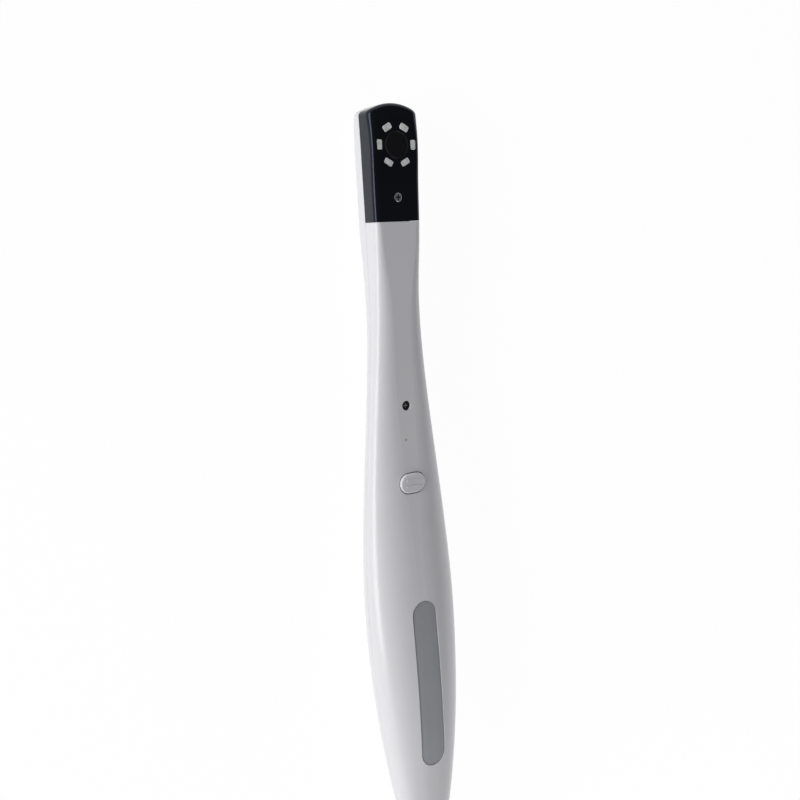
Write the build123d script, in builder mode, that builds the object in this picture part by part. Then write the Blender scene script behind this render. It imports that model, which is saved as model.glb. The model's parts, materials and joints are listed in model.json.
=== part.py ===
from build123d import *
from math import pi, sin, sqrt
import os

# Millimetres. The wand lies on its back along Y, head toward +Y and front face up (+Z).
# A "station" is a distance along the wand from the tip of its head.
overall_length = 213.5
shell_end = 208.0

# Width across the wand
head_width = 15.3
neck_width = 14.2
grip_width = 27.8
tail_width = 15.6

# Front line and back line above the surface that the wand lies on
head_front = 11.0
neck_front = 10.6
grip_front = 19.3
front_drop_at_tail = 1.2
neck_arch = 1.0
tail_rise = 6.0

# Stations where the form changes
neck_start = 40.0
neck_end = 48.0
front_rise_start = 65.0
widest = 142.0
back_rise_start = 145.0
front_peak = 185.0
corner_blend_end = 60.0
grip_blend_end = 130.0

# Share of the half section that the round corners take past the head
neck_front_round = 0.62
neck_rear_round = 0.70
grip_round = 0.90

# Walls and gaps of the moulded pieces
wall = 1.3
grip_wall = 1.7
seam_gap = 0.08
slip_gap = 0.05
tail_block = 8.0

# Height of the seam between the front and the rear halves, by station
seam_points = ((-6.0, 4.4), (31.2, 4.9), (80.0, 5.7), (150.0, 8.9))

# Head
cover_end = 31.2
tip_sagitta = 2.3
head_edge_radius = 1.7
tip_edge_radius = 1.6
tail_edge_radius = 1.0
lens_station = 11.0
lens_recess_diameter = 6.8
lens_recess_depth = 0.25
window_diameter = 5.4
window_thickness = 0.8
window_ledge_bore = 4.4
window_boss_diameter = 7.4
window_boss_height = 0.7
lamp_ring_radius = 5.22
lamp_count = 6
lamp_window = (1.8, 2.7)
lamp_window_corner = 0.5

# Screws: head diameter, head height, shank diameter, length under the head
head_screw_station = 24.8
head_screw_size = (2.5, 0.9, 1.4, 5.5)
body_screw_station = 82.4
body_screw_size = (2.5, 1.2, 1.6, 6.5)
board_screw_size = (3.0, 1.1, 1.6, 3.6)
cross_slot = (0.42, 1.5, 0.45)
body_screw_recess = 0.5
boss_wall = 1.3

# Indicator, button and label on the front face
indicator_station = 92.0
indicator_side = -0.9
indicator_diameter = 0.6
indicator_body_diameter = 1.6
button_station = 104.6
button_opening = (8.7, 6.2)
button_gap = 0.25
button_proud = 0.55
button_edge_radius = 0.5
button_flange = (10.0, 7.4, 0.8)
button_travel = 0.5
button_bar = (4.5, 0.45, 0.22)
button_bar_pitch = 1.85
label_top = 139.1
label_bottom = 189.7
label_width = 8.0
label_recess = 0.45
label_thickness = 0.25
label_gap = 0.2

# Boards
board_top = 6.6
board_thickness = 1.2
board_stations = (86.5, 112.0, 116.0, 160.0, 176.0)
board_widths = (13.0, 13.0, 18.0, 18.0, 12.0)
board_screw_stations = (124.0, 155.0)
sensor_board_top = 3.0
sensor_board_size = (10.5, 13.3, 0.8)
sensor_board_front = 5.2
lamp_board_top = 8.4
lamp_board_thickness = 0.8
lamp_board_radius = 5.9
lamp_size = (1.6, 2.4, 0.65)

# Lens and sensor
holder_bore = 5.64
holder_neck_diameter = 7.2
holder_body_diameter = 8.6
holder_base = 8.8
barrel_diameter = 5.6
barrel_height = 3.85
lens_diameter = 3.9
rear_lens_diameter = 3.4
sensor_size = (5.2, 5.2, 0.8)
filter_size = (4.6, 4.6, 0.4)

# Flat cable
cable_width = 2.4
cable_thickness = 0.3
cable_side = 3.9

# Inlet at the tail
inlet_diameter = 8.0
inlet_body_diameter = 9.0
inlet_shoulder = 0.4
inlet_chamfer = 0.4
inlet_bore = 6.4
inlet_flange = (10.8, 1.5)
inlet_flange_station = 203.0
pin_count = 5
pin_diameter = 0.9
pin_circle_radius = 1.9
wire_diameter = 0.9

os.makedirs("parts", exist_ok=True)


def at(station):
    """Y of a station; the origin lies under the middle of the wand's length."""
    return overall_length / 2 - station


def ease(value, start, end):
    """0 before start, 1 after end, and a smooth S between them."""
    t = min(max((value - start) / (end - start), 0.0), 1.0)
    return t * t * (3 - 2 * t)


def wand_width(station):
    taper = min(max(station / neck_start, 0.0), 1.0)
    head_to_neck = head_width - (head_width - neck_width) * taper
    swelling = (grip_width - neck_width) * ease(station, neck_end, widest)
    past = max(station - widest, 0.0) / (shell_end - widest)
    return head_to_neck + swelling - (grip_width - tail_width) * past**2


def front_line(station):
    dip = (head_front - neck_front) * ease(station, cover_end, cover_end + 20)
    rise = (grip_front - neck_front) * ease(station, front_rise_start, front_peak)
    past = max(station - front_peak, 0.0) / (shell_end - front_peak)
    return head_front - dip + rise - front_drop_at_tail * past**2


def back_line(station):
    span = min(max((station - cover_end) / (widest - 6 - cover_end), 0.0), 1.0)
    past = max(station - back_rise_start, 0.0) / (shell_end - back_rise_start)
    return neck_arch * sin(pi * span) ** 2 + tail_rise * past**2


tail_axis = (front_line(shell_end) + back_line(shell_end)) / 2


def corner(station, half, neck_share, inset):
    """Radius of a corner along one axis: the head's edge radius, then a share of the half section."""
    share = neck_share + (grip_round - neck_share) * ease(station, corner_blend_end, grip_blend_end)
    blend = ease(station, cover_end, corner_blend_end)
    return (1 - blend) * max(head_edge_radius - inset, 0.3) + blend * share * half


def section(station, inset):
    """Outline across the wand: four flats joined by four elliptical corners."""
    half_width = wand_width(station) / 2 - inset
    low = back_line(station) + inset
    high = front_line(station) - inset
    half_depth = (high - low) / 2
    middle = (high + low) / 2
    corners = (
        (1, 1, 0, neck_front_round),
        (-1, 1, 90, neck_front_round),
        (-1, -1, 180, neck_rear_round),
        (1, -1, 270, neck_rear_round),
    )
    with BuildSketch(Plane.XZ.offset(-at(station))) as outline:
        with BuildLine():
            arcs = []
            for side, level, start, share in corners:
                rx = corner(station, half_width, share, inset)
                rz = corner(station, half_depth, share, inset)
                centre = (side * (half_width - rx), middle + level * (half_depth - rz))
                arcs.append(EllipticalCenterArc(centre, rx, rz, start, arc_size=90))
            for first, second in zip(arcs, arcs[1:] + arcs[:1]):
                Line(first @ 1, second @ 0)
        make_face()
    return outline.sketch


def wall_at(station):
    """Wall of the shells: thin in the head and the neck, thicker in the grip."""
    return wall + (grip_wall - wall) * ease(station, neck_end, widest)


def wand_loft(inset, grip_extra=0.0, first=-4.0, last=shell_end):
    """Wand's form drawn inward by inset, and by grip_extra more in the grip, between two stations."""
    inner = (8, 20, cover_end, 36, 42, 50, 60, 70, 82, 96, 110, 124, 138, 152, 166, 180, 194)
    stations = [first] + [s for s in inner if first + 3 < s < last - 6] + [last]
    with BuildPart() as form:
        for station in stations:
            add(section(station, inset + grip_extra * ease(station, neck_end, widest)))
        loft()
    return form.part


def tip_arc_block(inset):
    """Upright block that ends in the arc of the tip, wider than the wand everywhere else."""
    half_tip = wand_width(tip_sagitta) / 2
    radius = (half_tip**2 + tip_sagitta**2) / (2 * tip_sagitta) - inset
    low = -5.0
    with BuildPart() as form:
        with BuildSketch(Plane.XY.offset(low)):
            with Locations((0, at(radius + inset))):
                Circle(radius)
            with Locations((0, at(radius + inset))):
                Rectangle(4 * radius, 2 * overall_length, align=(Align.CENTER, Align.MAX))
        extrude(amount=2 * grip_front)
    return form.part


def seam_block(lift):
    """Everything under the seam between the halves, with the seam raised by lift."""
    points = [(at(s), z + lift) for s, z in seam_points]
    points.append((at(shell_end + 6), tail_axis + lift))
    low = -5.0
    with BuildPart() as block:
        with BuildSketch(Plane.YZ):
            with BuildLine():
                seam = Spline(*points)
                Polyline(seam @ 1, (points[-1][0], low), (points[0][0], low), seam @ 0)
            make_face()
        extrude(amount=20, both=True)
    return block.part


def screw(size, x, station, seat):
    """Cross-recessed screw whose head rests on seat."""
    head_diameter, head_height, shank_diameter, length = size
    slot_width, slot_length, slot_depth = cross_slot
    with BuildPart() as item:
        with Locations((x, at(station), seat)):
            Cylinder(head_diameter / 2, head_height, align=(Align.CENTER, Align.CENTER, Align.MIN))
            Cylinder(shank_diameter / 2, length, align=(Align.CENTER, Align.CENTER, Align.MAX))
        fillet(item.edges().group_by(Axis.Z)[-1], 0.25)
        with BuildSketch(Plane.XY.offset(seat + head_height)):
            with Locations((x, at(station))):
                Rectangle(slot_width, slot_length)
                Rectangle(slot_length, slot_width)
        extrude(amount=-slot_depth, mode=Mode.SUBTRACT)
    return item.part


def save(solid, name):
    solid.label = name
    export_step(solid, f"parts/{name}.step")


def boss(x, station, low, high, diameter):
    """Round boss from low to high."""
    with BuildPart() as item:
        with Locations((x, at(station), low)):
            Cylinder(diameter / 2, high - low, align=(Align.CENTER, Align.CENTER, Align.MIN))
    return item.part


def stadium(station, size, low, high):
    """Upright block with round ends, long axis across the wand."""
    with BuildPart() as item:
        with BuildSketch(Plane.XY.offset(low)):
            with Locations((0, at(station))):
                SlotOverall(size[0], size[1])
        extrude(amount=high - low)
    return item.part


def block(x, station, size, low):
    """Box standing on low, centred on a station."""
    with BuildPart() as item:
        with Locations((x, at(station), low)):
            Box(*size, align=(Align.CENTER, Align.CENTER, Align.MIN))
    return item.part


# Forms that several pieces are cut from
with BuildPart() as outer_form:
    add(wand_loft(0))
    add(tip_arc_block(0), mode=Mode.INTERSECT)
    fillet(outer_form.faces().sort_by(Axis.Y)[-1].edges(), tip_edge_radius)
    fillet(outer_form.faces().sort_by(Axis.Y)[0].edges(), tail_edge_radius)
with BuildPart() as cavity_form:
    add(wand_loft(wall, grip_wall - wall, last=shell_end - tail_block))
    add(tip_arc_block(wall), mode=Mode.INTERSECT)
outer = outer_form.part
cavity = cavity_form.part
below_seam = seam_block(0)
below_raised_seam = seam_block(seam_gap)
with BuildPart() as past_cover:
    with Locations((0, at(cover_end), -5)):
        Box(60, 2 * overall_length, 60, align=(Align.CENTER, Align.MAX, Align.MIN))
with BuildPart() as before_shell:
    with Locations((0, at(cover_end + seam_gap), -5)):
        Box(60, 2 * overall_length, 60, align=(Align.CENTER, Align.MIN, Align.MIN))

# Bore of the inlet through the tail and the groove that holds its flange
with BuildPart() as inlet_space:
    with Locations(Plane.XZ.offset(-at(shell_end - tail_block - 1))):
        with Locations((0, tail_axis, 0)):
            Cylinder(
                inlet_body_diameter / 2 + slip_gap,
                tail_block + 3,
                align=(Align.CENTER, Align.CENTER, Align.MIN),
            )
    with Locations(Plane.XZ.offset(-at(inlet_flange_station - slip_gap))):
        with Locations((0, tail_axis, 0)):
            Cylinder(
                inlet_flange[0] / 2 + slip_gap,
                inlet_flange[1] + 2 * slip_gap,
                align=(Align.CENTER, Align.CENTER, Align.MIN),
            )

# Rear shell: back half of the wand, with the bosses that carry the boards and take the screws
head_seat = head_front - wall - seam_gap
body_screw_seat = front_line(body_screw_station) - body_screw_recess - body_screw_size[1]
body_boss_meeting = 6.3
board_bottom = board_top - board_thickness
sensor_board_bottom = sensor_board_top - sensor_board_size[2]
sensor_board_station = sensor_board_front + sensor_board_size[1] / 2
head_boss_diameter = head_screw_size[2] + 2 * boss_wall
body_boss_diameter = body_screw_size[2] + 2 * boss_wall
board_boss_diameter = board_screw_size[2] + 2 * boss_wall
with BuildPart() as rear_shell:
    add(outer)
    add(cavity, mode=Mode.SUBTRACT)
    add(below_seam, mode=Mode.INTERSECT)
    add(inlet_space.part, mode=Mode.SUBTRACT)
    add(boss(0, head_screw_station, wall / 2, head_seat, head_boss_diameter))
    body_boss_low = back_line(body_screw_station) + wall / 2
    add(boss(0, body_screw_station, body_boss_low, body_boss_meeting, body_boss_diameter))
    for station in board_screw_stations:
        add(boss(0, station, back_line(station) + wall / 2, board_bottom, board_boss_diameter))
    add(boss(0, button_station, back_line(button_station) + wall / 2, board_bottom, board_boss_diameter))
    for station in (sensor_board_front + 2, sensor_board_front + sensor_board_size[1] - 1):
        add(block(0, station, (sensor_board_size[0] - 1, 0.8, sensor_board_bottom - wall / 2), wall / 2))
    with Locations((0, at(head_screw_station), head_seat)):
        Cylinder(
            head_screw_size[2] / 2 + slip_gap / 2,
            head_screw_size[3],
            align=(Align.CENTER, Align.CENTER, Align.MAX),
            mode=Mode.SUBTRACT,
        )
    with Locations((0, at(body_screw_station), body_boss_meeting)):
        Cylinder(
            body_screw_size[2] / 2 + slip_gap / 2,
            body_screw_size[3] - (body_screw_seat - body_boss_meeting) + 0.3,
            align=(Align.CENTER, Align.CENTER, Align.MAX),
            mode=Mode.SUBTRACT,
        )
    for station in board_screw_stations:
        with Locations((0, at(station), board_bottom)):
            Cylinder(
                board_screw_size[2] / 2 + slip_gap / 2,
                board_screw_size[3] - board_thickness + 0.2,
                align=(Align.CENTER, Align.CENTER, Align.MAX),
                mode=Mode.SUBTRACT,
            )
save(rear_shell.part, "rear_shell")

# Front shell: front half from the cover to the tail, with the button's, screw's and label's places
label_middle = (label_top + label_bottom) / 2
label_length = label_bottom - label_top


def label_prism(gap):
    """Upright block with the label's outline, drawn in by gap."""
    with BuildPart() as item:
        with BuildSketch(Plane.XY.offset(seam_points[-1][1])):
            with Locations((0, at(label_middle))):
                SlotOverall(label_length - 2 * gap, label_width - 2 * gap, rotation=90)
        extrude(amount=grip_front)
    return item.part


label_floor = wand_loft(label_recess, first=label_top - 12)
with BuildPart() as label_pocket:
    add(label_prism(0))
    add(label_floor, mode=Mode.SUBTRACT)

button_roof = front_line(button_station) - wall_at(button_station) - 0.2
with BuildPart() as front_shell:
    add(outer)
    add(cavity, mode=Mode.SUBTRACT)
    add(below_raised_seam, mode=Mode.SUBTRACT)
    add(before_shell.part, mode=Mode.SUBTRACT)
    add(inlet_space.part, mode=Mode.SUBTRACT)
    add(label_pocket.part, mode=Mode.SUBTRACT)
    boss_top = front_line(body_screw_station) - wall / 2
    add(boss(0, body_screw_station, body_boss_meeting, boss_top, body_boss_diameter))
    with Locations((0, at(body_screw_station), front_line(body_screw_station) + 1)):
        CounterBoreHole(
            body_screw_size[2] / 2 + slip_gap,
            body_screw_size[0] / 2 + 0.15,
            body_screw_recess + body_screw_size[1] + 1,
            depth=12,
        )
    add(stadium(button_station, button_opening, board_top, grip_front), mode=Mode.SUBTRACT)
    pocket = (button_flange[0] + 0.3, button_flange[1] + 0.3)
    add(stadium(button_station, pocket, board_top, button_roof), mode=Mode.SUBTRACT)
    with Locations((indicator_side, at(indicator_station), board_top)):
        Cylinder(
            indicator_diameter / 2 + slip_gap,
            grip_front,
            align=(Align.CENTER, Align.CENTER, Align.MIN),
            mode=Mode.SUBTRACT,
        )
save(front_shell.part, "front_shell")

# Head cover: front and flanks of the head, with the lamp windows, the lens recess and the screw's place
window_floor = head_front - lens_recess_depth - window_thickness - slip_gap
window_boss_low = head_front - wall - window_boss_height
with BuildPart() as head_cover:
    add(outer)
    add(cavity, mode=Mode.SUBTRACT)
    add(below_raised_seam, mode=Mode.SUBTRACT)
    add(past_cover.part, mode=Mode.SUBTRACT)
    add(boss(0, lens_station, window_boss_low, head_front - wall / 2, window_boss_diameter))
    with Locations((0, at(lens_station), head_front)):
        CounterBoreHole(window_ledge_bore / 2, lens_recess_diameter / 2, lens_recess_depth, depth=4)
    with Locations((0, at(lens_station), window_floor)):
        Cylinder(
            window_diameter / 2 + slip_gap,
            4,
            align=(Align.CENTER, Align.CENTER, Align.MIN),
            mode=Mode.SUBTRACT,
        )
    with BuildSketch(Plane.XY.offset(head_front)):
        with Locations((0, at(lens_station))):
            with PolarLocations(lamp_ring_radius, lamp_count):
                RectangleRounded(*lamp_window, lamp_window_corner)
    extrude(amount=-2 * wall, mode=Mode.SUBTRACT)
    with Locations((0, at(head_screw_station), head_front)):
        CounterBoreHole(
            head_screw_size[2] / 2 + slip_gap, head_screw_size[0] / 2 + 0.1, head_screw_size[1], depth=4
        )
save(head_cover.part, "head_cover")

save(screw(head_screw_size, 0, head_screw_station, head_front - head_screw_size[1]), "head_screw")
save(screw(body_screw_size, 0, body_screw_station, body_screw_seat), "body_screw")

# Capture button: oval key with a holding flange below the shell and two thin bars on top
flange_top = button_roof - slip_gap
key_size = (button_opening[0] - 2 * button_gap, button_opening[1] - 2 * button_gap)
key_top = front_line(button_station) + button_proud
flange_bottom = flange_top - button_flange[2]
with BuildPart() as capture_button:
    add(stadium(button_station, key_size, flange_top - 0.1, key_top))
    fillet(capture_button.edges().group_by(Axis.Z)[-1], button_edge_radius)
    with BuildSketch(Plane.XY.offset(key_top - 0.1)):
        with Locations((0, at(button_station - button_bar_pitch / 2)), (0, at(button_station + button_bar_pitch / 2))):
            SlotOverall(button_bar[0], button_bar[1])
    extrude(amount=button_bar[2] + 0.1)
    add(stadium(button_station, button_flange, flange_bottom, flange_top))
save(capture_button.part, "capture_button")


def cap_arc(radius, rim, bulge):
    """Half section of a spherical cap, from its middle out to its rim."""
    sphere = (radius**2 + bulge**2) / (2 * abs(bulge))
    side = 1 if bulge > 0 else -1
    half_way = rim + bulge - side * (sphere - sqrt(sphere**2 - radius**2 / 4))
    return ThreePointArc((0, rim + bulge), (radius / 2, half_way), (radius, rim))


# Switch under the button: housing, snap dome, plunger and top plate
switch_floor = 0.5
switch_side = 6.0
switch_height = 2.5
switch_wall = 0.8
switch_plate_thickness = 0.2
plunger_diameter = 3.0
plunger_foot = (3.8, 0.5)
dome_height = 0.45
switch_top = board_top + switch_height
with BuildPart() as switch_housing:
    add(block(0, button_station, (switch_side, switch_side, switch_height), board_top))
    with Locations((0, at(button_station), switch_top)):
        Hole(switch_side / 2 - switch_wall, switch_height - switch_floor)
    fillet(switch_housing.edges().filter_by(Axis.Z), 0.4)
save(switch_housing.part, "switch_housing")

plunger_foot_low = board_top + switch_floor + dome_height + slip_gap + button_travel
with BuildPart() as switch_plunger:
    with Locations((0, at(button_station), plunger_foot_low)):
        Cylinder(plunger_foot[0] / 2, plunger_foot[1], align=(Align.CENTER, Align.CENTER, Align.MIN))
        Cylinder(
            plunger_diameter / 2, flange_bottom - plunger_foot_low, align=(Align.CENTER, Align.CENTER, Align.MIN)
        )
save(switch_plunger.part, "switch_plunger")

with BuildPart() as switch_plate:
    add(block(0, button_station, (switch_side, switch_side, switch_plate_thickness), switch_top))
    with Locations((0, at(button_station), switch_top + switch_plate_thickness)):
        Hole(plunger_diameter / 2 + 0.1)
    fillet(switch_plate.edges().filter_by(Axis.Z), 0.4)
save(switch_plate.part, "switch_plate")

dome_radius = switch_side / 2 - switch_wall - 0.1
dome_sheet = 0.12
dome_base = board_top + switch_floor
with BuildPart() as switch_dome:
    with BuildSketch(Plane.XZ.offset(-at(button_station))):
        with BuildLine():
            top = cap_arc(dome_radius, dome_base + dome_sheet, dome_height - dome_sheet)
            Line(top @ 1, (dome_radius, dome_base))
            under = cap_arc(dome_radius, dome_base, dome_height - dome_sheet)
            Line(under @ 0, top @ 0)
        make_face()
    revolve(axis=Axis((0, at(button_station), 0), (0, 0, 1)))
save(switch_dome.part, "switch_dome")

# Indicator: light pipe through the shell and the lamp under it on the main board
indicator_lamp_size = (1.6, 0.8, 0.6)
pipe_low = board_top + indicator_lamp_size[2] + slip_gap
pipe_shoulder = front_line(indicator_station) - wall_at(indicator_station) - 0.25
with BuildPart() as indicator_light_pipe:
    add(boss(indicator_side, indicator_station, pipe_low, pipe_shoulder, indicator_body_diameter))
    pipe_top = front_line(indicator_station) - 0.03
    add(boss(indicator_side, indicator_station, pipe_low, pipe_top, indicator_diameter))
save(indicator_light_pipe.part, "indicator_light_pipe")
save(block(indicator_side, indicator_station, indicator_lamp_size, board_top), "indicator_led")

# Label plate: bare inlay that follows the front face, its face sunk a little below the shell
label_face = label_recess - label_thickness
label_upper = wand_loft(label_face, first=label_top - 12)
label_lower = wand_loft(label_recess - 0.01, first=label_top - 12)
with BuildPart() as label_plate:
    add(label_prism(label_gap))
    add(label_upper, mode=Mode.INTERSECT)
    add(label_lower, mode=Mode.SUBTRACT)
save(label_plate.part, "label_plate")

# Main board and what it carries
with BuildPart() as main_board:
    with BuildSketch(Plane.XY.offset(board_bottom)):
        with BuildLine():
            right = [(w / 2, at(s)) for s, w in zip(board_stations, board_widths)]
            left = [(-x, y) for x, y in reversed(right)]
            Polyline(*right, *left, close=True)
        make_face()
    extrude(amount=board_thickness)
    for station in board_screw_stations:
        with Locations((0, at(station), board_top)):
            Hole(board_screw_size[2] / 2 + 0.1)
save(main_board.part, "main_board")

processor_size = (9.0, 9.0, 1.0)
memory_size = (5.0, 4.0, 0.9)
oscillator_size = (2.5, 3.2, 0.8)
capacitor_size = (0.8, 1.6, 0.8)
save(block(0, 137.0, processor_size, board_top), "image_processor")
save(block(-5.0, 147.5, memory_size, board_top), "memory_chip")
save(block(5.5, 129.5, oscillator_size, board_top), "oscillator")
with BuildPart() as board_capacitors:
    with Locations((0, at(137.0), board_top)):
        with GridLocations(processor_size[0] + 3.0, 4.0, 2, 3):
            Box(*capacitor_size, align=(Align.CENTER, Align.CENTER, Align.MIN))
save(board_capacitors.part, "board_capacitors")

with BuildPart() as board_screws:
    for station in board_screw_stations:
        add(screw(board_screw_size, 0, station, board_top))
save(board_screws.part, "board_screws")

# Lamp board, its six lamps and the clear light guide that fills the cover's windows
lamp_board_low = lamp_board_top - lamp_board_thickness
with BuildPart() as led_board:
    with BuildSketch(Plane.XY.offset(lamp_board_low)):
        with Locations((0, at(lens_station))):
            Circle(lamp_board_radius)
            Circle(holder_neck_diameter / 2 + 0.1, mode=Mode.SUBTRACT)
    extrude(amount=lamp_board_thickness)
save(led_board.part, "led_board")

for index, spot in enumerate(PolarLocations(lamp_ring_radius, lamp_count)):
    with BuildPart() as lamp:
        with BuildSketch(Plane.XY.offset(lamp_board_top)):
            with Locations(Pos(0, at(lens_station)) * spot):
                Rectangle(lamp_size[0], lamp_size[1])
        extrude(amount=lamp_size[2])
    save(lamp.part, f"led_{index + 1}")

guide_low = lamp_board_top + lamp_size[2] + slip_gap
guide_high = head_front - wall - slip_gap
with BuildPart() as light_guide:
    with BuildSketch(Plane.XY.offset(guide_low)):
        with Locations((0, at(lens_station))):
            Circle(lamp_board_radius)
            Circle(window_boss_diameter / 2 + 0.2, mode=Mode.SUBTRACT)
    extrude(amount=guide_high - guide_low)
    with BuildSketch(Plane.XY.offset(guide_low)):
        with Locations((0, at(lens_station))):
            with PolarLocations(lamp_ring_radius, lamp_count):
                RectangleRounded(
                    lamp_window[0] - 2 * slip_gap, lamp_window[1] - 2 * slip_gap, lamp_window_corner - slip_gap
                )
    extrude(amount=head_front - slip_gap - guide_low)
save(light_guide.part, "light_guide")

# Lens window, lens barrel with its two lenses, holder, filter, sensor and sensor board
with BuildPart() as lens_window:
    with Locations((0, at(lens_station), window_floor + slip_gap)):
        Cylinder(window_diameter / 2, window_thickness, align=(Align.CENTER, Align.CENTER, Align.MIN))
    fillet(lens_window.edges().group_by(Axis.Z)[-1], 0.15)
save(lens_window.part, "lens_window")

holder_ceiling = sensor_board_top + sensor_size[2] + filter_size[2] + 0.2
barrel_low = holder_ceiling + 0.5
barrel_high = barrel_low + barrel_height
with BuildPart() as lens_holder:
    add(block(0, lens_station, (holder_base, holder_base, holder_ceiling + 0.4 - sensor_board_top), sensor_board_top))
    add(boss(0, lens_station, sensor_board_top, lamp_board_low, holder_body_diameter))
    add(boss(0, lens_station, sensor_board_top, barrel_high - 0.1, holder_neck_diameter))
    add(
        block(0, lens_station, (6.4, 6.4, holder_ceiling - sensor_board_top), sensor_board_top),
        mode=Mode.SUBTRACT,
    )
    with Locations((0, at(lens_station), barrel_high)):
        CounterBoreHole(rear_lens_diameter / 2 - 0.2, holder_bore / 2, barrel_height, depth=6)
save(lens_holder.part, "lens_holder")

front_seat = barrel_high - 1.5
rear_seat = barrel_low + 1.2
with BuildPart() as lens_barrel:
    add(boss(0, lens_station, barrel_low, barrel_high, barrel_diameter))
    with Locations((0, at(lens_station), barrel_high)):
        Hole(lens_diameter / 2 + 0.02, barrel_high - front_seat)
        Hole(rear_lens_diameter / 2 - 0.5, barrel_height)
    with Locations((0, at(lens_station), barrel_low)):
        Cylinder(
            rear_lens_diameter / 2 + 0.02,
            rear_seat - barrel_low,
            align=(Align.CENTER, Align.CENTER, Align.MIN),
            mode=Mode.SUBTRACT,
        )
save(lens_barrel.part, "lens_barrel")


def lens(diameter, low, rim, bulge_low, bulge_high):
    """Round lens with a rim of even height and two faces, each a spherical cap or flat."""
    radius = diameter / 2
    with BuildPart() as item:
        with BuildSketch(Plane.XZ.offset(-at(lens_station))):
            with BuildLine():
                if bulge_high:
                    cap_arc(radius, low + rim, bulge_high)
                else:
                    Line((0, low + rim), (radius, low + rim))
                Line((radius, low + rim), (radius, low))
                if bulge_low:
                    cap_arc(radius, low, -bulge_low)
                else:
                    Line((radius, low), (0, low))
                Line((0, low - bulge_low), (0, low + rim + bulge_high))
            make_face()
        revolve(axis=Axis((0, at(lens_station), 0), (0, 0, 1)))
    return item.part


save(lens(lens_diameter, front_seat, 0.9, 0, 0.45), "front_lens")
save(lens(rear_lens_diameter, rear_seat - 0.8, 0.8, 0.3, 0), "rear_lens")
save(block(0, lens_station, filter_size, holder_ceiling - filter_size[2]), "ir_filter")
save(block(0, lens_station, sensor_size, sensor_board_top), "image_sensor")
save(block(0, sensor_board_station, sensor_board_size, sensor_board_bottom), "sensor_board")

# Flat cable from the sensor board through the neck to its connector on the main board
connector_size = (4.0, 3.4, 1.3)
connector_station = board_stations[0] + 3.5
cable_start = sensor_board_front + sensor_board_size[1] - 2.5
cable_rise_start = sensor_board_front + sensor_board_size[1] + 0.5
neck_height = 4.3
cable_entry = board_top + 0.5
cable_end = connector_station - connector_size[1] / 2
cable_middle = cable_thickness / 2
with BuildPart() as flex_cable:
    with BuildSketch(Plane.YZ.offset(cable_side - cable_width / 2)):
        with BuildLine():
            FilletPolyline(
                (at(cable_start), sensor_board_top + cable_middle),
                (at(cable_rise_start), sensor_board_top + cable_middle),
                (at(cable_rise_start + 6), neck_height),
                (at(body_screw_station - 9), neck_height),
                (at(body_screw_station + 2), cable_entry),
                (at(cable_end), cable_entry),
                radius=3,
            )
        trace(line_width=cable_thickness)
    extrude(amount=cable_width)
save(flex_cable.part, "flex_cable")
save(block(cable_side, connector_station, connector_size, board_top), "flex_connector")

# Lamp leads: two upright pins that carry the lamp board's current from the sensor board
lead_station = lens_station + lamp_board_radius - 0.5
lead_side = 1.2
lead_diameter = 0.5
with BuildPart() as led_leads:
    for side in (-lead_side, lead_side):
        add(boss(side, lead_station, sensor_board_top, lamp_board_low, lead_diameter))
save(led_leads.part, "led_leads")

# Inlet at the tail: threaded barrel with a flange held in the shells' groove, insulator and contact pins
inlet_length = overall_length - (shell_end - tail_block)
insulator_end = shell_end - 0.5
insulator_start = shell_end - tail_block + 0.5
keyway = (1.2, 1.6)
with BuildPart() as inlet_barrel:
    with Locations(Plane.XZ.offset(-at(shell_end - tail_block))):
        with Locations((0, tail_axis, 0)):
            Cylinder(inlet_diameter / 2, inlet_length, align=(Align.CENTER, Align.CENTER, Align.MIN))
    chamfer(inlet_barrel.edges().group_by(Axis.Y)[0], inlet_chamfer)
    with Locations(Plane.XZ.offset(-at(shell_end - tail_block))):
        with Locations((0, tail_axis, 0)):
            Cylinder(
                inlet_body_diameter / 2,
                tail_block + inlet_shoulder,
                align=(Align.CENTER, Align.CENTER, Align.MIN),
            )
    with Locations(Plane.XZ.offset(-at(inlet_flange_station))):
        with Locations((0, tail_axis, 0)):
            Cylinder(inlet_flange[0] / 2, inlet_flange[1], align=(Align.CENTER, Align.CENTER, Align.MIN))
    with Locations(Plane.XZ.offset(-at(overall_length))):
        with Locations((0, tail_axis, 0)):
            Cylinder(
                inlet_bore / 2,
                inlet_length,
                align=(Align.CENTER, Align.CENTER, Align.MAX),
                mode=Mode.SUBTRACT,
            )
    add(
        block(0, overall_length, (keyway[0], 2 * keyway[1], inlet_diameter), tail_axis),
        mode=Mode.SUBTRACT,
    )
save(inlet_barrel.part, "inlet_barrel")

pin_end = overall_length - 1.2
pin_start = shell_end - tail_block - 3.0
with BuildPart() as inlet_insulator:
    with Locations(Plane.XZ.offset(-at(insulator_start))):
        with Locations((0, tail_axis, 0)):
            Cylinder(
                inlet_bore / 2 - slip_gap,
                insulator_end - insulator_start,
                align=(Align.CENTER, Align.CENTER, Align.MIN),
            )
            with PolarLocations(pin_circle_radius, pin_count, start_angle=90):
                Cylinder(
                    pin_diameter / 2 + slip_gap / 2,
                    insulator_end - insulator_start,
                    align=(Align.CENTER, Align.CENTER, Align.MIN),
                    mode=Mode.SUBTRACT,
                )
save(inlet_insulator.part, "inlet_insulator")

pin_ring = list(PolarLocations(pin_circle_radius, pin_count, start_angle=90))
for index, spot in enumerate(pin_ring):
    with BuildPart() as contact_pin:
        with Locations(Plane.XZ.offset(-at(pin_start))):
            with Locations((spot.position.X, tail_axis + spot.position.Y, 0)):
                Cylinder(pin_diameter / 2, pin_end - pin_start, align=(Align.CENTER, Align.CENTER, Align.MIN))
        fillet(contact_pin.edges().group_by(Axis.Y)[0], 0.3)
    save(contact_pin.part, f"contact_pin_{index + 1}")

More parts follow.
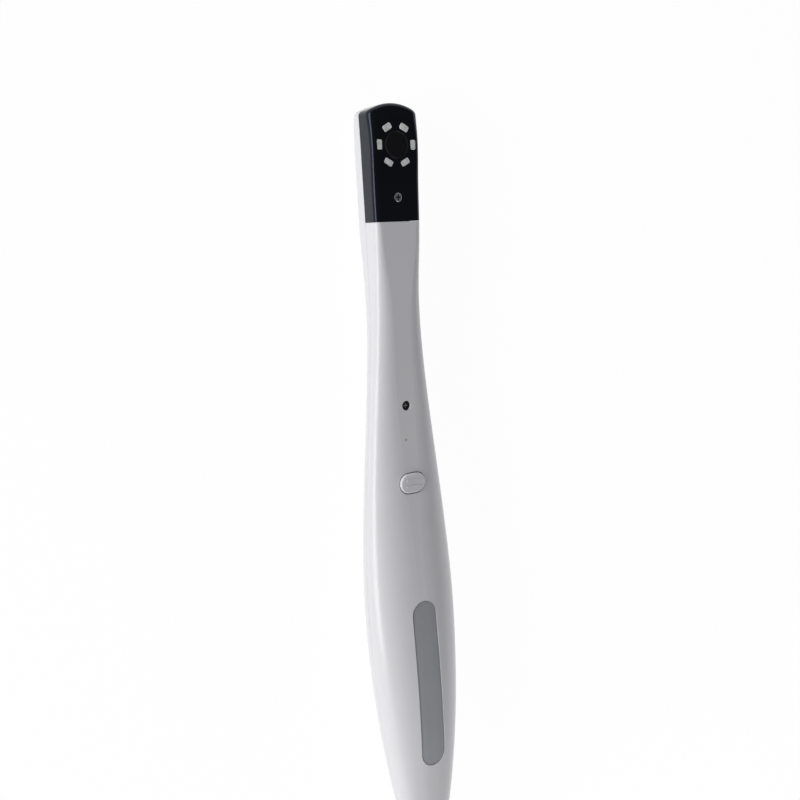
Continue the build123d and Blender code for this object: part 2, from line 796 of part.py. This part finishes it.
# Wires from the pins to the header on the main board
header_size = (8.4, 4.0, 2.6)
header_station = 171.5
header_pitch = 1.5
wire_height = board_top + header_size[2] / 2
order = sorted(range(pin_count), key=lambda i: pin_ring[i].position.X)
with BuildPart() as inlet_wires:
    for slot, index in enumerate(order):
        x = (slot - (pin_count - 1) / 2) * header_pitch
        pin = pin_ring[index].position
        start = header_station + header_size[1] / 2
        with BuildLine() as route:
            FilletPolyline(
                (x, at(start), wire_height),
                (x, at(start + 4), wire_height),
                (pin.X, at(pin_start - 5), tail_axis + pin.Y),
                (pin.X, at(pin_start), tail_axis + pin.Y),
                radius=3,
            )
        with BuildSketch(Plane(origin=route.line @ 0, z_dir=route.line % 0)):
            Circle(wire_diameter / 2)
        sweep(path=route.line)
save(inlet_wires.part, "inlet_wires")
save(block(0, header_station, header_size, board_top), "wire_header")
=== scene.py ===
import json
import math

import bmesh
import bpy
from mathutils import Matrix, Vector


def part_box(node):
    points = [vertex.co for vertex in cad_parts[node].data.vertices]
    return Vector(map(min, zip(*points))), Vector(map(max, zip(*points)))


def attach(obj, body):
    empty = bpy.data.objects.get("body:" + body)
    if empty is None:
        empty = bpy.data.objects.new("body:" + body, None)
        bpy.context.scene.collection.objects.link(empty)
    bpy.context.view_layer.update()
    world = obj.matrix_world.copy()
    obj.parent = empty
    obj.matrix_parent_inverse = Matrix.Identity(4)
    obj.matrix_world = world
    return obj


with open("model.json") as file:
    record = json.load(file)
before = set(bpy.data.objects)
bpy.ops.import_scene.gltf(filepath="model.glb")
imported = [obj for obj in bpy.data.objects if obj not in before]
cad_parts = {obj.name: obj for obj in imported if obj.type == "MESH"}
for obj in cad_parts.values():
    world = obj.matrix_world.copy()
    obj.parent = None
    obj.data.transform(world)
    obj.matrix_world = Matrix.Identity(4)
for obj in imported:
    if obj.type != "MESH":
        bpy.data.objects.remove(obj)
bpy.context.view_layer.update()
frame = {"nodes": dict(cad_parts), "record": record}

MM = 0.001

# Camera: where the photograph was taken from, in metres, in the part's frame
CAMERA_PLACE = Vector((-0.1320, 0.0741, 0.2317))
CAMERA_AIM = Vector((0.0011, 0.0251, 0.0057))
CAMERA_ROLL = -0.04
CAMERA_LENS_MM = 41.71
CAMERA_SENSOR_MM = 36.0
CAMERA_NEAR = 0.01
CAMERA_FAR = 20.0

# Head: height of the cover's face, and how deep the panes, the bezel and the lens glass reach into it
FACE_HEIGHT = 11.055 * MM
FACE_DEPTH = 0.3 * MM

# Lamp panes: rounded rectangles on a ring round the lens, a little proud of the face, with a slanted edge
PANE_COUNT = 6
PANE_RING_RADIUS = 5.2 * MM
PANE_SIZE = (1.55 * MM, 2.65 * MM)
PANE_CORNER = 0.42 * MM
PANE_CORNER_STEPS = 6
PANE_PROUD = 0.04 * MM
PANE_EDGE = 0.06 * MM

# Lens bezel: its radii and the height of its lip
BEZEL_OUTER = 3.62 * MM
BEZEL_INNER = 2.75 * MM
LIP = 0.07 * MM
# Points of the lip, in from the outer edge, and of the slope, out from the inner edge, both in lips
BEZEL_LIP = ((0, 0.4), (1, 1.0), (3, 1.0), (4, 0.3))
BEZEL_SLOPE = ((2, 0.25), (0, 0.0))

# Lens glass: points of its dome as shares of the bezel's inner radius and of the lip, and its top
GLASS_DOME = ((1.0, -0.5), (0.94, 0.15), (0.6, 0.35))
GLASS_TOP = 0.4 * LIP
GLASS_PINHOLE = 0.1 * LIP
LENS_STEPS = 96
LENS_SHARP_ANGLE = math.radians(35)

# Painted shade in the head screw's cross recess and a painted glint in the body screw's, each a thin plate
# Crosses painted in the screws' recesses: arm width and length, how far their floor lies under the top, its
# thickness
HEAD_SHADE_CROSS = (0.40 * MM, 1.46 * MM)
BODY_GLINT_CROSS = (0.24 * MM, 1.30 * MM)
CROSS_DROP = 0.10 * MM
CROSS_THICKNESS = 0.25 * MM

# Fine thread on the inlet's barrel: radii, pitch, the plain stretch at each end, and steps a turn
THREAD_ROOT = 3.95 * MM
THREAD_CREST = 4.14 * MM
THREAD_PITCH = 0.6 * MM
THREAD_PLAIN = 0.45 * MM
THREAD_STEPS = 48
THREAD_SHARP_ANGLE = math.radians(30)
# Half widths of the thread's ridge, as shares of the pitch
RIDGE_FOOT = 0.45
RIDGE_TOP = 0.08

# Noise that mottles every material, and the finer one that its surface rises by
NOISE_DETAIL = 4.0
NOISE_ROUGHNESS = 0.55
DARKEST_AT = 0.35
LIGHTEST_AT = 0.65
FINE_TIMES = 12
FINE_DETAIL = 2.0
FINE_HEIGHT = 0.1 * MM

# Studio: white up to one Z of the direction looked in, and dim from another on
STUDIO_WHITE = (1, 1, 1)
STUDIO_DIM = (0.11, 0.11, 0.12)
STUDIO_WHITE_UP_TO = 0.26
STUDIO_DIM_FROM = 0.50

# Floor: just under the part, with a glow for the camera and for reflections, where a strength of 1 is white
FLOOR_SIZE = 8.0
FLOOR_DROP = 0.1 * MM
FLOOR_COLOR = (0.85, 0.85, 0.85, 1)
FLOOR_ROUGHNESS = 0.9
FLOOR_GLOW = 1.06
FLOOR_GLOW_SHARE = 0.9

MATERIALS = {}


def new_material(name):
    """Material with one principled shader, and that shader."""
    made = bpy.data.materials.new(name)
    made.use_nodes = True
    return made, made.node_tree.nodes["Principled BSDF"]


def add_node(tree, kind, **settings):
    """New node, with values for its sockets or for its own settings."""
    node = tree.nodes.new(kind)
    for key, value in settings.items():
        if key in node.inputs:
            node.inputs[key].default_value = value
        else:
            setattr(node, key, value)
    return node


def link(tree, source, target):
    """Joins an output of one node to an input of another."""
    tree.links.new(source, target)


def add_ramp(tree, *stops):
    """Colour ramp between two stops, each a position and a colour."""
    ramp = add_node(tree, "ShaderNodeValToRGB")
    for element, (position, color) in zip(ramp.color_ramp.elements, stops):
        element.position = position
        element.color = (*color, 1)
    return ramp


def mottled(slot, color, shades, grain, roughness, spread=0.05, bump=0.0, metallic=0.0):
    """Makes a slot's material, varied a little by a noise, and returns its shader.

    The shades are the colour's darkest and lightest share, grain is the noise's scale, spread is how far the
    roughness goes either way, and bump is how strongly the surface rises with the finer noise.
    """
    made, shader = new_material(slot)
    tree = made.node_tree
    place = add_node(tree, "ShaderNodeTexCoord")
    noise = add_node(tree, "ShaderNodeTexNoise", Scale=grain, Detail=NOISE_DETAIL, Roughness=NOISE_ROUGHNESS)
    link(tree, place.outputs["Object"], noise.inputs["Vector"])
    darkest, lightest = ([share * shade for share in color] for shade in shades)
    ramp = add_ramp(tree, (DARKEST_AT, darkest), (LIGHTEST_AT, lightest))
    link(tree, noise.outputs["Fac"], ramp.inputs["Fac"])
    link(tree, ramp.outputs["Color"], shader.inputs["Base Color"])
    polish = add_node(tree, "ShaderNodeMapRange")
    polish.inputs["To Min"].default_value = roughness - spread
    polish.inputs["To Max"].default_value = roughness + spread
    link(tree, noise.outputs["Fac"], polish.inputs["Value"])
    link(tree, polish.outputs["Result"], shader.inputs["Roughness"])
    if bump:
        fine = add_node(tree, "ShaderNodeTexNoise", Scale=grain * FINE_TIMES, Detail=FINE_DETAIL)
        link(tree, place.outputs["Object"], fine.inputs["Vector"])
        rise = add_node(tree, "ShaderNodeBump", Strength=bump, Distance=FINE_HEIGHT)
        link(tree, fine.outputs["Fac"], rise.inputs["Height"])
        link(tree, rise.outputs["Normal"], shader.inputs["Normal"])
    shader.inputs["Metallic"].default_value = metallic
    MATERIALS[slot] = made
    return shader


def white_plastics():
    """Shells and key: moulded white plastic that shines as under a thin clear coat."""
    white = (0.80, 0.80, 0.82)
    nearly_even = (0.985, 1.0)
    for slot, roughness in (("white_shell", 0.32), ("white_button", 0.28)):
        shader = mottled(slot, white, nearly_even, grain=60, roughness=roughness, spread=0.03, bump=0.02)
        shader.inputs["Coat Weight"].default_value = 0.25
        shader.inputs["Coat Roughness"].default_value = 0.08


def black_cover():
    """Head cover: polished black plastic with a cool sheen."""
    black = (0.0055, 0.0055, 0.0065)
    shader = mottled("black_cover", black, shades=(0.85, 1.15), grain=60, roughness=0.09, spread=0.03)
    shader.inputs["Specular IOR Level"].default_value = 0.33
    shader.inputs["Specular Tint"].default_value = (0.62, 0.72, 1.0, 1)


def other_plastics():
    """Grey inlay, black mouldings of inlet, lens and switch, ivory connectors, and the wires' jackets."""
    grey = (0.38, 0.39, 0.41)
    mottled("grey_label", grey, shades=(0.97, 1.03), grain=80, roughness=0.38, spread=0.04, bump=0.05)
    black = (0.02, 0.02, 0.022)
    mottled("black_plastic", black, shades=(0.8, 1.2), grain=200, roughness=0.5, bump=0.1)
    ivory = (0.7, 0.66, 0.55)
    mottled("ivory_plastic", ivory, shades=(0.95, 1.0), grain=150, roughness=0.45, bump=0.05)
    mottled("wire", (0.03, 0.03, 0.035), shades=(0.9, 1.1), grain=150, roughness=0.5, bump=0.05)


def windows_and_lamps():
    """Dark window, milky lamp guide, light pipe, lamps, lenses and filter."""
    dark = (0.003, 0.003, 0.004)
    mottled("dark_window", dark, shades=(0.9, 1.1), grain=80, roughness=0.06, spread=0.02)
    milky = (0.84, 0.86, 0.84)
    mottled("milky_guide", milky, shades=(0.8, 1.1), grain=900, roughness=0.35, bump=0.2)
    mottled("clear_pipe", (0.5, 0.48, 0.38), shades=(0.9, 1.0), grain=300, roughness=0.3)
    mottled("lamp", (0.8, 0.72, 0.35), shades=(0.9, 1.0), grain=300, roughness=0.4)
    glass = (0.1, 0.1, 0.16)
    mottled("optical_glass", glass, shades=(0.9, 1.1), grain=50, roughness=0.05, spread=0.02)
    filter_color = (0.25, 0.5, 0.5)
    mottled("filter_glass", filter_color, shades=(0.9, 1.1), grain=50, roughness=0.08, spread=0.02)


def metals():
    """Screws, inlet barrel, lens barrel, contacts and leads, oscillator, and the switch's dome and plate."""
    steel = (0.72, 0.73, 0.75)
    mottled("bright_steel", steel, shades=(0.9, 1.0), grain=400, roughness=0.2, bump=0.05, metallic=1.0)
    dark_steel = (0.02, 0.02, 0.022)
    mottled("black_steel", dark_steel, shades=(0.8, 1.2), grain=400, roughness=0.35, bump=0.1, metallic=0.6)
    black = (0.015, 0.015, 0.017)
    mottled("black_metal", black, shades=(0.8, 1.2), grain=200, roughness=0.45, bump=0.1, metallic=0.5)
    brass = (0.83, 0.62, 0.28)
    mottled("contact_brass", brass, shades=(0.9, 1.0), grain=300, roughness=0.25, metallic=1.0)
    mottled("tin", (0.6, 0.6, 0.6), shades=(0.85, 1.0), grain=300, roughness=0.35, bump=0.1, metallic=1.0)


def electronics():
    """Green boards, chips, ceramic capacitors and the flat cable."""
    mottled("board", (0.02, 0.16, 0.06), shades=(0.8, 1.2), grain=200, roughness=0.4, bump=0.1)
    mottled("chip", (0.02, 0.02, 0.022), shades=(0.8, 1.2), grain=300, roughness=0.55, bump=0.1)
    ceramic = (0.35, 0.22, 0.12)
    mottled("ceramic_chip", ceramic, shades=(0.85, 1.1), grain=300, roughness=0.4, bump=0.1)
    mottled("flex", (0.42, 0.18, 0.03), shades=(0.9, 1.1), grain=150, roughness=0.35)


def dress_nodes():
    """Gives every carried-over node the material of its slot."""
    slots = {part["node"]: part["material_slot"] for part in frame["record"]["subparts"]}
    for name, piece in frame["nodes"].items():
        for place in piece.material_slots:
            place.material = MATERIALS[slots[name]]


def new_piece(name, mesh, slot):
    """Finished piece that rides on the housing, with the material of that slot."""
    data = bpy.data.meshes.new(name)
    bmesh.ops.recalc_face_normals(mesh, faces=mesh.faces[:])
    mesh.to_mesh(data)
    mesh.free()
    data.materials.append(MATERIALS[slot])
    piece = bpy.data.objects.new(name, data)
    bpy.context.scene.collection.objects.link(piece)
    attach(piece, "housing")
    return piece


def smooth(piece, sharp_angle):
    """Shades a piece smooth, apart from the edges that turn by more than an angle."""
    piece.data.shade_smooth()
    piece.data.set_sharp_from_angle(angle=sharp_angle)


def middle(node):
    """Centre of a node's box."""
    low, high = (Vector(end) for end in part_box(node))
    return (low + high) / 2


def rounded_outline(size, radius):
    """Points round a rectangle with round corners, about the origin."""
    points = []
    for corner, (side_x, side_y) in enumerate(((1, 1), (-1, 1), (-1, -1), (1, -1))):
        for step in range(PANE_CORNER_STEPS + 1):
            turn = math.radians(90 * corner + 90 * step / PANE_CORNER_STEPS)
            x = side_x * (size[0] / 2 - radius) + radius * math.cos(turn)
            y = side_y * (size[1] / 2 - radius) + radius * math.sin(turn)
            points.append((x, y))
    return points


def cross_outline(width, length):
    """Points round a cross of four equal arms, about the origin, made by turning one quarter of it."""
    side, end = width / 2, length / 2
    quarter = [(end, side), (side, side), (side, end)]
    points = []
    for _ in range(4):
        points += quarter
        quarter = [(-y, x) for x, y in quarter]
    return points


def skin(mesh, loops):
    """Faces between each loop of vertices and the next."""
    for first, second in zip(loops, loops[1:]):
        for i in range(len(first)):
            j = (i + 1) % len(first)
            mesh.faces.new((first[i], first[j], second[j], second[i]))


def stack(mesh, rings):
    """Closed body through rings of points, from the first to the last."""
    loops = [[mesh.verts.new(point) for point in ring] for ring in rings]
    mesh.faces.new(loops[0][::-1])
    mesh.faces.new(loops[-1])
    skin(mesh, loops)


def lamp_panes():
    """Milky panes in the cover's face, one over each lamp."""
    centre = middle("lens_window")
    wall_top = PANE_PROUD - PANE_EDGE / 2
    for index in range(PANE_COUNT):
        spin = Matrix.Rotation(2 * math.pi * index / PANE_COUNT, 3, "Z")
        place = centre + spin @ Vector((PANE_RING_RADIUS, 0, 0))
        rings = []
        for inset, height in ((0, -FACE_DEPTH), (0, wall_top), (PANE_EDGE, PANE_PROUD)):
            size = [side - 2 * inset for side in PANE_SIZE]
            flat = [spin @ Vector((x, y, 0)) for x, y in rounded_outline(size, PANE_CORNER - inset)]
            rings.append([(place.x + point.x, place.y + point.y, FACE_HEIGHT + height) for point in flat])
        mesh = bmesh.new()
        stack(mesh, rings)
        new_piece(f"lamp_pane_{index + 1}", mesh, "milky_guide")


def turned(name, profile):
    """Dark ring or disc turned about the lens axis; the profile is radius and height over the face."""
    centre = middle("lens_window")
    mesh = bmesh.new()
    loops = []
    for step in range(LENS_STEPS):
        turn = 2 * math.pi * step / LENS_STEPS
        across = Vector((math.cos(turn), math.sin(turn), 0))
        points = [(*(centre + across * radius).xy, FACE_HEIGHT + height) for radius, height in profile]
        loops.append([mesh.verts.new(point) for point in points])
    skin(mesh, loops + loops[:1])
    smooth(new_piece(name, mesh, "dark_window"), LENS_SHARP_ANGLE)


def lens_bezel():
    """Ring round the lens, with a rounded lip outside and a shallow slope inside it."""
    profile = [(BEZEL_OUTER, -FACE_DEPTH)]
    profile += [(BEZEL_OUTER - LIP * inward, LIP * height) for inward, height in BEZEL_LIP]
    profile += [(BEZEL_INNER + LIP * outward, LIP * height) for outward, height in BEZEL_SLOPE]
    profile += [(BEZEL_INNER, -FACE_DEPTH)]
    turned("lens_bezel", profile)


def lens_glass():
    """Slightly domed glass inside the bezel, closed to a pinhole on the axis."""
    profile = [(BEZEL_INNER, -FACE_DEPTH)]
    profile += [(BEZEL_INNER * share, LIP * height) for share, height in GLASS_DOME]
    profile += [(GLASS_PINHOLE, GLASS_TOP), (GLASS_PINHOLE, -FACE_DEPTH)]
    turned("lens_glass", profile)


def painted_cross(name, node, size, slot):
    """Plate on the floor of a screw's cross recess, in the slot's material: painted shade when dark, a
    painted glint when bright.
    """
    centre = middle(node)
    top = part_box(node)[1][2] - CROSS_DROP
    flat = cross_outline(*size)
    mesh = bmesh.new()
    stack(mesh, [[(centre.x + x, centre.y + y, z) for x, y in flat] for z in (top - CROSS_THICKNESS, top)])
    new_piece(name, mesh, slot)


def inlet_thread():
    """Ridge that winds round the barrel beyond its shoulder, and fades in and out over one turn."""
    axis_height = middle("inlet_barrel").z
    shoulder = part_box("rear_shell")[0][1]
    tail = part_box("inlet_barrel")[0][1]
    start = shoulder - THREAD_PLAIN - THREAD_PITCH
    end = tail + THREAD_PLAIN + THREAD_PITCH
    count = int((start - end) / THREAD_PITCH * THREAD_STEPS)
    rings = []
    for step in range(count + 1):
        turns = step / THREAD_STEPS
        turn = 2 * math.pi * turns
        fade = min(1.0, turns, (count - step) / THREAD_STEPS)
        crest = THREAD_ROOT + (THREAD_CREST - THREAD_ROOT) * fade
        uphill = [(THREAD_ROOT, RIDGE_FOOT), (crest, RIDGE_TOP)]
        downhill = [(radius, -shift) for radius, shift in reversed(uphill)]
        ring = []
        for radius, shift in uphill + downhill:
            y = start + (shift - turns) * THREAD_PITCH
            ring.append((radius * math.cos(turn), y, axis_height + radius * math.sin(turn)))
        rings.append(ring)
    mesh = bmesh.new()
    stack(mesh, rings)
    smooth(new_piece("inlet_thread", mesh, "bright_steel"), THREAD_SHARP_ANGLE)


def make_camera():
    """Camera at the photograph's place; the wand runs up the picture, turned by the roll."""
    data = bpy.data.cameras.new("camera")
    data.lens = CAMERA_LENS_MM
    data.sensor_width = CAMERA_SENSOR_MM
    data.clip_start = CAMERA_NEAR
    data.clip_end = CAMERA_FAR
    camera = bpy.data.objects.new("camera", data)
    bpy.context.scene.collection.objects.link(camera)
    ahead = (CAMERA_AIM - CAMERA_PLACE).normalized()
    right = ahead.cross(Vector((0, 1, 0))).normalized()
    up = right.cross(ahead)
    rolled_right = right * math.cos(CAMERA_ROLL) + up * math.sin(CAMERA_ROLL)
    rolled_up = up * math.cos(CAMERA_ROLL) - right * math.sin(CAMERA_ROLL)
    axes = Matrix((rolled_right, rolled_up, -ahead)).transposed()
    camera.matrix_world = Matrix.Translation(CAMERA_PLACE) @ axes.to_4x4()
    bpy.context.scene.camera = camera


def area_light(name, place, aim, size, power):
    """Rectangular lamp at a place, turned towards its aim, with its size in metres and power in watts."""
    data = bpy.data.lights.new(name, "AREA")
    data.shape = "RECTANGLE"
    data.size, data.size_y = size
    data.energy = power
    lamp = bpy.data.objects.new(name, data)
    bpy.context.scene.collection.objects.link(lamp)
    lamp.location = place
    lamp.rotation_euler = (Vector(aim) - Vector(place)).to_track_quat("-Z", "Y").to_euler()


def make_lights():
    """Soft lamp low on the left and a weak one beyond the tail."""
    area_light("left_soft", place=(-0.75, 0.06, 0.19), aim=(0, 0.02, 0.01), size=(0.9, 0.3), power=3.9)
    area_light("tail_fill", place=(0.12, -0.27, 0.25), aim=(0, -0.05, 0.015), size=(0.3, 0.3), power=0.22)


def make_studio():
    """World that is white at the horizon and dim overhead."""
    world = bpy.data.worlds.new("studio")
    bpy.context.scene.world = world
    world.use_nodes = True
    tree = world.node_tree
    back = tree.nodes["Background"]
    place = add_node(tree, "ShaderNodeTexCoord")
    split = add_node(tree, "ShaderNodeSeparateXYZ")
    ramp = add_ramp(tree, (STUDIO_WHITE_UP_TO, STUDIO_WHITE), (STUDIO_DIM_FROM, STUDIO_DIM))
    link(tree, place.outputs["Generated"], split.inputs["Vector"])
    link(tree, split.outputs["Z"], ramp.inputs["Fac"])
    link(tree, ramp.outputs["Color"], back.inputs["Color"])
    back.inputs["Strength"].default_value = 1.0


def make_floor():
    """Wide pale floor that shows nearly white and keeps a soft shadow."""
    bpy.ops.mesh.primitive_plane_add(size=FLOOR_SIZE, location=(0, 0, -FLOOR_DROP))
    floor = bpy.context.object
    floor.name = "floor"
    made, shader = new_material("floor")
    shader.inputs["Base Color"].default_value = FLOOR_COLOR
    shader.inputs["Roughness"].default_value = FLOOR_ROUGHNESS
    tree = made.node_tree
    glow = add_node(tree, "ShaderNodeEmission", Strength=FLOOR_GLOW)
    rays = add_node(tree, "ShaderNodeLightPath")
    glows_for = rays.outputs["Is Camera Ray"]
    for kind in ("Is Glossy Ray", "Is Transmission Ray"):
        either = add_node(tree, "ShaderNodeMath", operation="MAXIMUM")
        link(tree, glows_for, either.inputs[0])
        link(tree, rays.outputs[kind], either.inputs[1])
        glows_for = either.outputs[0]
    share = add_node(tree, "ShaderNodeMath", operation="MULTIPLY")
    share.inputs[1].default_value = FLOOR_GLOW_SHARE
    link(tree, glows_for, share.inputs[0])
    mix = add_node(tree, "ShaderNodeMixShader")
    link(tree, share.outputs[0], mix.inputs[0])
    link(tree, shader.outputs[0], mix.inputs[1])
    link(tree, glow.outputs[0], mix.inputs[2])
    link(tree, mix.outputs[0], tree.nodes["Material Output"].inputs["Surface"])
    floor.data.materials.append(made)


white_plastics()
black_cover()
other_plastics()
windows_and_lamps()
metals()
electronics()
dress_nodes()
make_camera()
make_lights()
make_studio()
make_floor()
lamp_panes()
lens_bezel()
lens_glass()
# Painted shade in the head screw's cross recess, a painted glint in the body screw's
painted_cross("head_screw_painted_shade", "head_screw", HEAD_SHADE_CROSS, "black_steel")
painted_cross("body_screw_painted_glint", "body_screw", BODY_GLINT_CROSS, "tin")
inlet_thread()
bpy.context.scene.view_settings.view_transform = "Standard"
